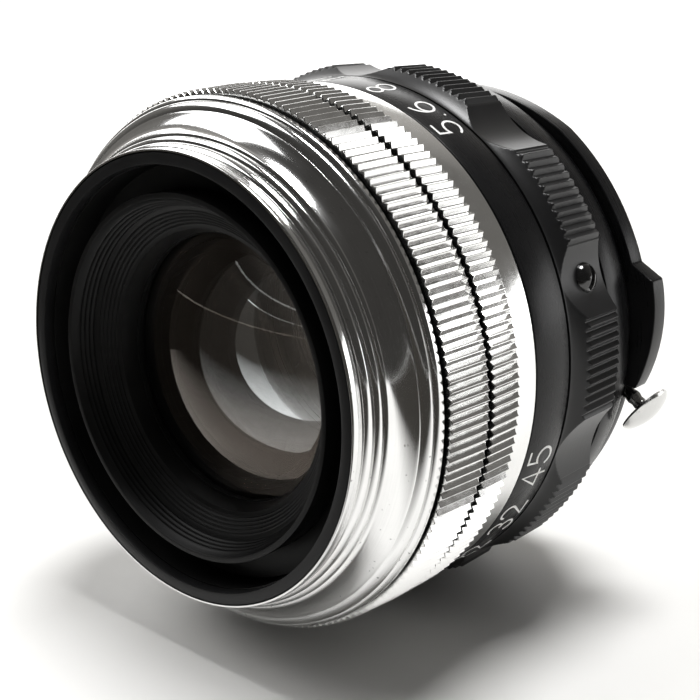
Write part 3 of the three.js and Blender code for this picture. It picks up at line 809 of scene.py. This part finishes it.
def ring_point(u, v, lift, centre_angle, centre_station):
    """A point of the lettering on the cone of the scale ring. v grows towards the front."""
    station = centre_station - v
    share = (station - number_front) / (number_rear - number_front)
    r = number_start + share * (number_edge - number_start) + lift
    x, z = polar(r, centre_angle + math.degrees(u / number_edge))
    return x, station + RIM_Y, z


def stroke_strip(points):
    """Left and right edges of a stroke with round ends."""
    line = [Vector(p) for p in points]
    edges = []
    first = (line[1] - line[0]).normalized()
    last = (line[-1] - line[-2]).normalized()
    for k in range(CAP_STEPS, 0, -1):
        angle = math.radians(90 * k / CAP_STEPS)
        edges.append((line[0] - first * STROKE * math.sin(angle), first, STROKE * math.cos(angle)))
    for index, point in enumerate(line):
        before = (point - line[index - 1]).normalized() if index else first
        after = (line[index + 1] - point).normalized() if index < len(line) - 1 else last
        direction = (before + after).normalized()
        edges.append((point, direction, STROKE / max(0.6, direction.dot(after))))
    for k in range(1, CAP_STEPS + 1):
        angle = math.radians(90 * k / CAP_STEPS)
        edges.append((line[-1] + last * STROKE * math.sin(angle), last, STROKE * math.cos(angle)))
    strip = []
    for centre, direction, reach in edges:
        side = Vector((-direction.y, direction.x)) * max(reach, 0.004)
        strip.append((centre + side, centre - side))
    return strip


def engraved(label, centre_angle, centre_station, vertices, faces):
    """Adds the raised enamel of one number to a list of vertices and faces."""
    widths = [DIGITS[c][0] for c in label]
    total = (sum(widths) + SPACE * (len(label) - 1)) * DIGIT_HEIGHT
    pen = -total / 2
    for character, width in zip(label, widths):
        for order, stroke in enumerate(DIGITS[character][1]):
            points = [(pen + x * DIGIT_HEIGHT, (y - 0.5) * DIGIT_HEIGHT) for x, y in stroke]
            lift = ENAMEL_RISE + ENAMEL_STEP * order
            strip = stroke_strip(points)
            base = len(vertices)
            for left, right in strip:
                corners = ((left, lift), (right, lift), (right, ENAMEL_ROOT), (left, ENAMEL_ROOT))
                for p, rise in corners:
                    vertices.append(ring_point(p.x, p.y, rise, centre_angle, centre_station))
            for k in range(len(strip) - 1):
                a, b = base + 4 * k, base + 4 * (k + 1)
                for one, two in ((0, 1), (1, 2), (2, 3), (3, 0)):
                    faces.append((a + one, a + two, b + two, b + one))
            end = base + 4 * (len(strip) - 1)
            faces.append((base + 3, base + 2, base + 1, base))
            faces.append((end, end + 1, end + 2, end + 3))
        pen += (width + SPACE) * DIGIT_HEIGHT


STOPS = ("5.6", "8", "11", "16", "22", "32", "45")
STOP_STEP = 15.0
SCALE_STARTS = (62.7, -108.9)
NUMBER_STATION = number_front + 2.35

letter_vertices, letter_faces = [], []
for scale_start in SCALE_STARTS:
    for index, label in enumerate(STOPS):
        engraved(label, scale_start + index * STOP_STEP, NUMBER_STATION, letter_vertices, letter_faces)
piece("aperture_numbers", letter_vertices, letter_faces, "head", None, enamel, 60)

# ---------------- focusing ring

SCALLOPS = 10
SCALLOP_ANGLE = 19.2
SCALLOP_HALF = 3.78
SCALLOP_DEPTH = 1.2
RIDGE_DEPTH = 0.36
FOCUS_BORE = 23.52
RIDGE_PHASE = 0.6
SHOULDER_DROP = 1.2
EDGE_BREAK = 0.22

focus_front = front("focus_ring")
focus_rear = rear("focus_ring")
grip = radius("focus_ring")
shoulder_rear = focus_front + 1.85

chord_drop = grip - math.sqrt(grip ** 2 - SCALLOP_HALF ** 2)
cutter_depth = SCALLOP_DEPTH - chord_drop
cutter = (SCALLOP_HALF ** 2 + cutter_depth ** 2) / (2 * cutter_depth)
cutter_centre = grip - SCALLOP_DEPTH + cutter


def scallop(angle):
    """Radius of the milled hollow at an angle, or a large number on a lobe."""
    pitch = 360.0 / SCALLOPS
    off = (angle - SCALLOP_ANGLE + pitch / 2) % pitch - pitch / 2
    reach = cutter_centre * math.sin(math.radians(off))
    if abs(reach) >= cutter:
        return 1e3
    return cutter_centre * math.cos(math.radians(off)) - math.sqrt(cutter ** 2 - reach ** 2)


def focus_shape(station, distance, angle):
    if distance < grip - 2:
        return distance
    share = (station - focus_front) / (shoulder_rear - focus_front)
    cone = grip - SHOULDER_DROP + SHOULDER_DROP * max(0.0, share) ** 1.5
    if station > shoulder_rear:
        cone = grip + (station - shoulder_rear)
    edge = grip + 0.02 - max(0.0, station - (focus_rear - EDGE_BREAK))
    ridge = grip - 0.02 - RIDGE_DEPTH * (1 - tooth_height(angle + RIDGE_PHASE))
    return min(cone, edge, ridge, scallop(angle))


focus_angles = sorted(set(
    [round(a - RIDGE_PHASE, 4) for a in tooth_angles()]
    + [round(0.45 * k - RIDGE_PHASE, 4) for k in range(800)]
))
shoulder_rows = [focus_front + 0.085 * k for k in range(28)]
grip_rows = [shoulder_rear + 0.8, focus_rear - 1.2, focus_rear - 0.24, focus_rear - 0.12, focus_rear]
focus_outline = [(focus_front, FOCUS_BORE), (focus_front, grip - 2.5)]
focus_outline += [(station, grip) for station in shoulder_rows + grip_rows]
focus_outline += [(focus_rear, grip - 2.5), (focus_rear, FOCUS_BORE)]
focus_vertices, focus_faces = sweep(focus_outline, focus_angles, focus_shape)
piece("focus_ring_grip", focus_vertices, focus_faces, "focus", "focus_ring",
      black_grip, 24)

# ---------------- clamp screws

SCREW_HEAD = 1.5
SCREW_RISE = 1.42
SLOT_WIDTH = 0.55
SLOT_DEPTH = 1.1
SLOT_SLANT = 22
# Radius and drop below the top, from the middle of the dome to its edge.
DOME = ((0.0, 0.0), (0.3, 0.02), (0.6, 0.09), (0.9, 0.22), (1.15, 0.4), (1.35, 0.62),
        (SCREW_HEAD, 0.95))


def subtract(target, tool):
    cut = target.modifiers.new("cut", "BOOLEAN")
    cut.operation = "DIFFERENCE"
    cut.solver = "EXACT"
    cut.object = tool


def worked(target):
    """A new mesh with the target's modifiers applied."""
    graph = bpy.context.evaluated_depsgraph_get()
    return bpy.data.meshes.new_from_object(target.evaluated_get(graph))


def mesh_of(name, work):
    mesh = bpy.data.meshes.new(name)
    work.to_mesh(mesh)
    work.free()
    return mesh


def clamp_screw(name, node, angle):
    """A domed head with a slot across it, turned about its own axis."""
    low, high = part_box(node)
    station = (low[1] + high[1]) / 2 / MM
    head_seat = grip - SCALLOP_DEPTH - 0.45
    top = head_seat + SCREW_RISE
    columns = 48
    work = bmesh.new()
    layers = [[work.verts.new((0, 0, top))]]
    for r, height in [(r, top - drop) for r, drop in DOME[1:]] + [(SCREW_HEAD, head_seat)]:
        layers.append([work.verts.new((*polar(r, 360 * k / columns), height)) for k in range(columns)])
    for one, two in zip(layers, layers[1:]):
        for k in range(columns):
            n = (k + 1) % columns
            corners = [one[k % len(one)], two[k], two[n]]
            if len(one) > 1:
                corners.append(one[n])
            work.faces.new(corners)
    work.faces.new(layers[-1][::-1])
    head = placed(name, mesh_of(name, work))
    tool = bmesh.new()
    bmesh.ops.create_cube(tool, size=1.0, matrix=Matrix.Diagonal((4.0, SLOT_WIDTH, SLOT_DEPTH, 1.0)))
    bmesh.ops.translate(tool, verts=tool.verts, vec=(0, 0, top))
    slot = placed(name + "_slot", mesh_of(name + "_slot", tool))
    subtract(head, slot)
    edge = head.modifiers.new("edge", "BEVEL")
    edge.width = 0.05
    edge.segments = 2
    edge.limit_method = "ANGLE"
    result = worked(head)
    bpy.data.objects.remove(slot)
    bpy.data.objects.remove(head)
    out = outward(angle)
    across = Vector((0, 1, 0))
    turn = Matrix((out.cross(across), across, out)).transposed().to_4x4()
    slant = Matrix.Rotation(math.radians(SLOT_SLANT), 4, "Z")
    result.transform(Matrix.Translation((0, station, 0)) @ turn @ slant)
    vertices = [tuple(v.co) for v in result.vertices]
    faces = [tuple(p.vertices) for p in result.polygons]
    piece(name, vertices, faces, "focus", node, black_gloss, 40)


clamp_screw("clamp_screw_head_1", "focus_clamp_screw_1", SCALLOP_ANGLE)
clamp_screw("clamp_screw_head_2", "focus_clamp_screw_2", SCALLOP_ANGLE + 180)

# ---------------- rear barrel and lock

skirt_front = front("rear_skirt")
skirt_rear = rear("rear_skirt")
skirt = radius("rear_skirt")
turned("rear_skirt_black", rounded([
    (skirt_front, FOCUS_BORE),
    (skirt_front, skirt - 0.01),
    (skirt_rear - 1.3, skirt - 0.05),
    (skirt_rear, skirt - 0.5),
    (skirt_rear, FOCUS_BORE),
], 0.1), "focus", "rear_skirt", black_satin)

lock_front = front("lock_ring")
lock_rear = rear("lock_ring")
LOCK_RING = 25.2
lock_ring = turned("lock_ring_black", rounded([
    (lock_front, FOCUS_BORE),
    (lock_front, LOCK_RING),
    (lock_rear - 0.8, LOCK_RING),
    (lock_rear, LOCK_RING - 0.35),
    (lock_rear, FOCUS_BORE),
], 0.08), "focus", "lock_ring", black_satin)


def extruded(name, outline, begin, end, bevel, body, node, material):
    """A plate of the given outline in X and Z, between two stations, with softened edges."""
    work = bmesh.new()
    base = [work.verts.new((x, begin + RIM_Y, z)) for x, z in outline]
    floor = work.faces.new(base)
    grown = bmesh.ops.extrude_face_region(work, geom=[floor])
    moved = [v for v in grown["geom"] if isinstance(v, bmesh.types.BMVert)]
    bmesh.ops.translate(work, verts=moved, vec=(0, end - begin, 0))
    bmesh.ops.recalc_face_normals(work, faces=work.faces)
    sharp = [e for e in work.edges if e.calc_face_angle(0) > math.radians(28)]
    bmesh.ops.bevel(work, geom=sharp, offset=bevel, segments=3, profile=0.6, affect="EDGES")
    work.verts.index_update()
    vertices = [tuple(v.co) for v in work.verts]
    faces = [tuple(v.index for v in f.verts) for f in work.faces]
    work.free()
    return piece(name, vertices, faces, body, node, material, 30)


TAPER_TOP = 78.0
PLATE_TOP = 52.0
PLATE_BOTTOM = -8.5
STEP_TOP = 18.8
STEP_BOTTOM = 14.7
PLATE = LOCK_RING + 1.2
HOUSING = LOCK_RING + 3.0
PLATE_END = LOCK_RING + 1.3


def lock_wing_outline():
    """The raised plate: thin at the top, stepping up and then falling away to the button."""
    points = []
    steps = 24
    for step in range(steps + 1):
        share = step / steps
        angle = PLATE_BOTTOM + share * (STEP_BOTTOM - PLATE_BOTTOM)
        swell = math.sin(math.pi / 2 * share) ** 0.9
        points.append(polar(PLATE_END + swell * (HOUSING - PLATE_END), angle))
    for step in range(steps + 1):
        points.append(polar(PLATE, STEP_TOP + step / steps * (PLATE_TOP - STEP_TOP)))
    for step in range(1, steps + 1):
        share = step / steps
        angle = PLATE_TOP + share * (TAPER_TOP - PLATE_TOP)
        points.append(polar(PLATE - share * (PLATE - LOCK_RING + 0.1), angle))
    inner_steps = 39
    for step in range(inner_steps + 1):
        angle = TAPER_TOP - step / inner_steps * (TAPER_TOP - PLATE_BOTTOM)
        points.append(polar(LOCK_RING - 0.8, angle))
    return points


lock_wing = extruded("lock_wing", lock_wing_outline(), lock_front + 0.02, lock_rear - 0.02, 0.16,
                     "focus", "lock_ring", black_satin)

BUTTON_DIRECTION = -37.0
BUTTON_HEAD = 2.83
BUTTON_POST = 0.62
POST_LENGTH = 2.1
BORE_RADIUS = BUTTON_POST + 0.15
BORE_LENGTH = 3.8
button_low, button_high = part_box("lock_button")
button_y = (button_low[1] + button_high[1]) / 2 / MM
button_base = polar(LOCK_RING + 0.2, PLATE_BOTTOM - 2.1)


def lock_button():
    """A mushroom: a waisted post under a thin domed head with a rolled edge."""
    outline = [(-0.8, 0.0), (-0.8, BUTTON_POST), (0.3, BUTTON_POST), (0.5, BUTTON_POST + 0.1),
               (0.9, BUTTON_POST + 0.14), (1.3, BUTTON_POST + 0.03), (1.8, BUTTON_POST + 0.1),
               (POST_LENGTH, 1.3), (POST_LENGTH + 0.04, BUTTON_HEAD * 0.86),
               (POST_LENGTH + 0.14, BUTTON_HEAD * 0.96), (POST_LENGTH + 0.34, BUTTON_HEAD),
               (POST_LENGTH + 0.54, BUTTON_HEAD * 0.96)]
    for step in range(1, 12):
        r = BUTTON_HEAD * 0.93 * (1 - step / 11)
        outline.append((POST_LENGTH + 0.62 + 0.82 * (1 - (r / BUTTON_HEAD) ** 2), r))
    columns = 72
    out = outward(BUTTON_DIRECTION)
    side = Vector((0, 1, 0))
    up = out.cross(side)
    base = Vector((button_base[0], button_y, button_base[1]))
    vertices, rows = [], []
    for along, r in outline:
        count = columns if r else 1
        rows.append([len(vertices) + k % count for k in range(columns)])
        for k in range(count):
            a = 2 * math.pi * k / columns
            vertices.append(base + out * along + (side * math.cos(a) + up * math.sin(a)) * r)
    piece("lock_button_polished", vertices, bands(rows, rows[1:]), "lock_button", "lock_button",
          button_chrome, 40)


lock_button()


def bored(*targets):
    """Cuts the hole that the button's post slides in."""
    work = bmesh.new()
    bmesh.ops.create_cone(work, cap_ends=True, segments=48, depth=BORE_LENGTH * MM,
                          radius1=BORE_RADIUS * MM, radius2=BORE_RADIUS * MM)
    tool = placed("bore", mesh_of("bore", work))
    x, z = button_base
    tool.matrix_world = (Matrix.Translation(Vector((x, button_y, z)) * MM)
                         @ Matrix.Rotation(math.radians(90 - BUTTON_DIRECTION), 4, "Y"))
    for target in targets:
        subtract(target, tool)
        result = worked(target)
        target.modifiers.clear()
        target.data = result
    bpy.data.objects.remove(tool)


bored(lock_ring, lock_wing)

# ---------------- mount

THREAD_RADIUS = 19.5
THREAD_PITCH = 0.977
THREAD_DEPTH = 0.5
THROAT = 17.25
flange_front = front("mount_flange")
thread_rear = rear("mount_flange")
flange = radius("mount_flange")
seating = -RIM_Y


def thread_shape(station, distance, angle):
    """A helical thread on the spigot, faded out at both ends."""
    if distance < THREAD_RADIUS - 0.01 or not seating + 0.3 < station < thread_rear - 0.1:
        return distance
    phase = ((station - seating) / THREAD_PITCH + angle / 360.0) % 1.0
    fade = min(1.0, (station - seating - 0.3) / 0.5, (thread_rear - 0.1 - station) / 0.4)
    return distance - THREAD_DEPTH * fade * abs(2 * phase - 1)


thread_rows = [seating + 0.3 + 0.08 * k for k in range(46)]
mount_outline = rounded([
    (thread_rear, THROAT),
    (flange_front, THROAT),
    (flange_front, flange - 0.3),
    (flange_front + 0.3, flange - 0.01),
    (seating, flange - 0.01),
    (seating, THREAD_RADIUS),
], 0.12, closed=False)
mount_outline += [(s, THREAD_RADIUS) for s in thread_rows if s < thread_rear - 0.1]
mount_outline += [(thread_rear - 0.1, THREAD_RADIUS - 0.5), (thread_rear, THREAD_RADIUS - 0.6)]
mount_vertices, mount_faces = sweep(mount_outline, even_angles(240), thread_shape)
piece("mount_flange_threaded", mount_vertices, mount_faces, "mount", "mount_flange",
      flange_chrome, 30, (black_matt, THROAT + 0.02))

# ---------------- tubes and cells seen from behind

GUIDE_BORE = 18.22
guide_front = front("guide_sleeve")
guide_rear = rear("guide_sleeve")
guide = radius("guide_sleeve")
turned("guide_sleeve_turned", rounded([
    (guide_front, GUIDE_BORE), (guide_front, guide), (guide_rear, guide), (guide_rear, GUIDE_BORE),
], 0.1), "mount", "guide_sleeve", brass, 160, lining=(black_matt, GUIDE_BORE + 0.02))

cell_front = front("rear_cell")
cell_rear = rear("rear_cell")
CELL = 13.18
CELL_BORE = 10.46
CELL_FLANGE = 18.15
CELL_FRONT = 14.68
CELL_MOUTH = 8.32
RETAINING_RING = 10.38
flange_station = guide_front - 5.45
cell_outline = rounded([
    (cell_front, CELL_MOUTH),
    (cell_front, CELL_FRONT),
    (flange_station, CELL_FRONT),
    (flange_station, CELL_FLANGE),
    (flange_station + 0.96, CELL_FLANGE),
    (flange_station + 0.96, CELL),
], 0.1, closed=False)
cell_outline += grooved((flange_station + 1.4, CELL), (cell_rear - 1.2, CELL), 0.5, -0.12)
cell_outline += [
    (cell_rear - 0.3, CELL - 0.02),
    (cell_rear, CELL - 0.3),
    (cell_rear, CELL_BORE + 0.5),
    (cell_rear - 0.5, CELL_BORE),
    (front("fourth_element") - 0.04, CELL_BORE),
    (front("fourth_element") - 0.04, CELL_MOUTH),
]
turned("rear_cell_turned", cell_outline, "head", "rear_cell", black_inside, 200, 30)

ring_front = front("rear_retaining_ring")
ring_rear = rear("rear_retaining_ring")
turned("rear_retaining_ring_turned", rounded([
    (ring_front + 0.05, 9.52),
    (last_back + 0.12, RETAINING_RING),
    (ring_rear, RETAINING_RING),
    (ring_rear, RETAINING_RING - 0.38),
], 0.06), "head", "rear_retaining_ring", black_matt, 128)

# The pieces that stay as they are get a finish to match.
FINISHES = {
    "brass": brass,
    "steel": steel,
    "inner_black": black_matt,
    "black_paint": black_satin,
    "chrome": chrome,
    "knurled_chrome": knurl_chrome,
    "glass": inner_glass,
}
for part in frame["record"]["subparts"]:
    cad = frame["nodes"][part["node"]]
    finish = blade_steel if part["node"].startswith("iris_blade") else FINISHES[part["material_slot"]]
    cad.data.materials.clear()
    cad.data.materials.append(finish)

# ---------------- table, lights and camera


def level_sheet(name, x_limits, y_limits, height, material):
    """A level rectangle, placed in the scene."""
    (left, right), (near, far) = x_limits, y_limits
    corners = [(left, near, height), (right, near, height), (right, far, height), (left, far, height)]
    mesh = bpy.data.meshes.new(name)
    mesh.from_pydata(corners, [], [(0, 1, 2, 3)])
    mesh.shade_smooth()
    mesh.materials.append(material)
    made = placed(name, mesh)
    return made


floor_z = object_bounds()[0].z
HALF_TABLE = 12.0
level_sheet("table", (-HALF_TABLE, HALF_TABLE), (-HALF_TABLE, HALF_TABLE), floor_z, table_surface())

HALF_SHADE_SHEET = 3.0
SHADE_SHEET_LIFT = 0.0004
# Along each axis, where the painted shade sheet begins to darken and where it is fully dark.
SHADE_SHEET_EDGES = {"Y": (-0.052, -0.09), "X": (-0.104, -0.108)}


def reflected_floor_shade():
    """Painted shade: a dark sheet that lies in front of the lens and shows only in reflections, as the
    room's darkness.
    """
    n = new_material("reflected_floor_shade")
    parts = n.components(n.position())
    masks = [n.mapped(parts[axis], From_Min=clear, From_Max=dark)
             for axis, (clear, dark) in SHADE_SHEET_EDGES.items()]
    bare = n.add("ShaderNodeBsdfTransparent")
    n.set(Base_Color=(0.03, 0.028, 0.025, 1), Roughness=1.0, Specular_IOR_Level=0.0)
    surface = n.mix_shaders(n.math("MAXIMUM", *masks), bare.outputs[0], n.shader.outputs[0])
    n.link(surface, n.tree.nodes["Material Output"].inputs["Surface"])
    shade_sheet = level_sheet("reflected_floor_shade", (-HALF_SHADE_SHEET, HALF_SHADE_SHEET), (-HALF_SHADE_SHEET, 0.0),
                        floor_z + SHADE_SHEET_LIFT, n.owner)
    shade_sheet.visible_camera = False
    shade_sheet.visible_shadow = False
    shade_sheet.visible_diffuse = False


reflected_floor_shade()


def aimed(lamp, direction):
    """Turns a lamp so that it shines in a direction."""
    lamp.rotation_mode = "QUATERNION"
    lamp.rotation_quaternion = Vector(direction).to_track_quat("-Z", "Y")


LIGHT_TARGET = Vector((0, -0.02, 0))


def softbox(name, place, size, power):
    light = bpy.data.lights.new(name, "AREA")
    light.shape = "RECTANGLE"
    light.size, light.size_y = size
    light.energy = power
    lamp = placed(name, light)
    lamp.location = place
    aimed(lamp, LIGHT_TARGET - Vector(place))


sky = bpy.data.lights.new("overhead", "SUN")
sky.energy = 3.5
sky.angle = math.radians(24)
aimed(placed("overhead", sky), (-0.02, -0.12, -0.99))

softbox("back_left", (-1.9, 1.9, 0.9), (2.4, 1.5), 24.0)
softbox("window_left", (-1.5, -0.6, 1.8), (1.9, 1.5), 26.0)
softbox("back_right", (2.0, 2.3, 0.36), (1.7, 0.75), 9.0)

BRIGHT_SIDE = (-0.8, 0.4, 0.3)
ROOM_COLOUR = (1.0, 0.96, 0.90, 1)


def studio_world():
    """A dim room that is lighter behind the lens on the left, seen as a white backdrop."""
    n = Nodes(bpy.data.worlds.new("studio"))
    n.tree.nodes.clear()
    output = n.add("ShaderNodeOutputWorld")
    direction = n.add("ShaderNodeTexCoord").outputs["Generated"]
    across = n.add("ShaderNodeVectorMath", operation="DOT_PRODUCT")
    across.inputs[1].default_value = BRIGHT_SIDE
    n.link(direction, across.inputs[0])
    side = n.mapped(across.outputs["Value"], From_Min=0.35, From_Max=0.85, To_Min=0.13, To_Max=0.5)
    depth = n.mapped(n.components(direction)["Y"], From_Min=0.15, From_Max=0.5, To_Min=0.3, To_Max=1.0)
    room = n.add("ShaderNodeBackground")
    room.inputs["Color"].default_value = ROOM_COLOUR
    n.link(n.math("MULTIPLY", side, depth), room.inputs["Strength"])
    backdrop = n.add("ShaderNodeBackground")
    backdrop.inputs["Color"].default_value = (1, 1, 1, 1)
    backdrop.inputs["Strength"].default_value = 1.0
    path = n.add("ShaderNodeLightPath")
    n.link(n.mix_shaders(path.outputs["Is Camera Ray"], room.outputs[0], backdrop.outputs[0]),
           output.inputs[0])
    return n.owner


bpy.context.scene.world = studio_world()

CAMERA_PLACE = Vector((0.07985, -0.10994, 0.03393))
CAMERA_RIGHT = Vector((0.7566, 0.6537, 0.0))
CAMERA_UP = Vector((-0.1843, 0.2142, 0.9594))
FOCAL_LENGTH = 62.71

camera_data = bpy.data.cameras.new("camera")
camera_data.lens = FOCAL_LENGTH
camera_data.sensor_width = 36.0
camera_data.clip_start = 0.01
camera = placed("camera", camera_data)
back = CAMERA_RIGHT.cross(CAMERA_UP)
camera.matrix_world = Matrix.Translation(CAMERA_PLACE) @ Matrix(
    (CAMERA_RIGHT, CAMERA_UP, back)).transposed().to_4x4()
bpy.context.scene.camera = camera
bpy.context.scene.view_settings.view_transform = "Standard"
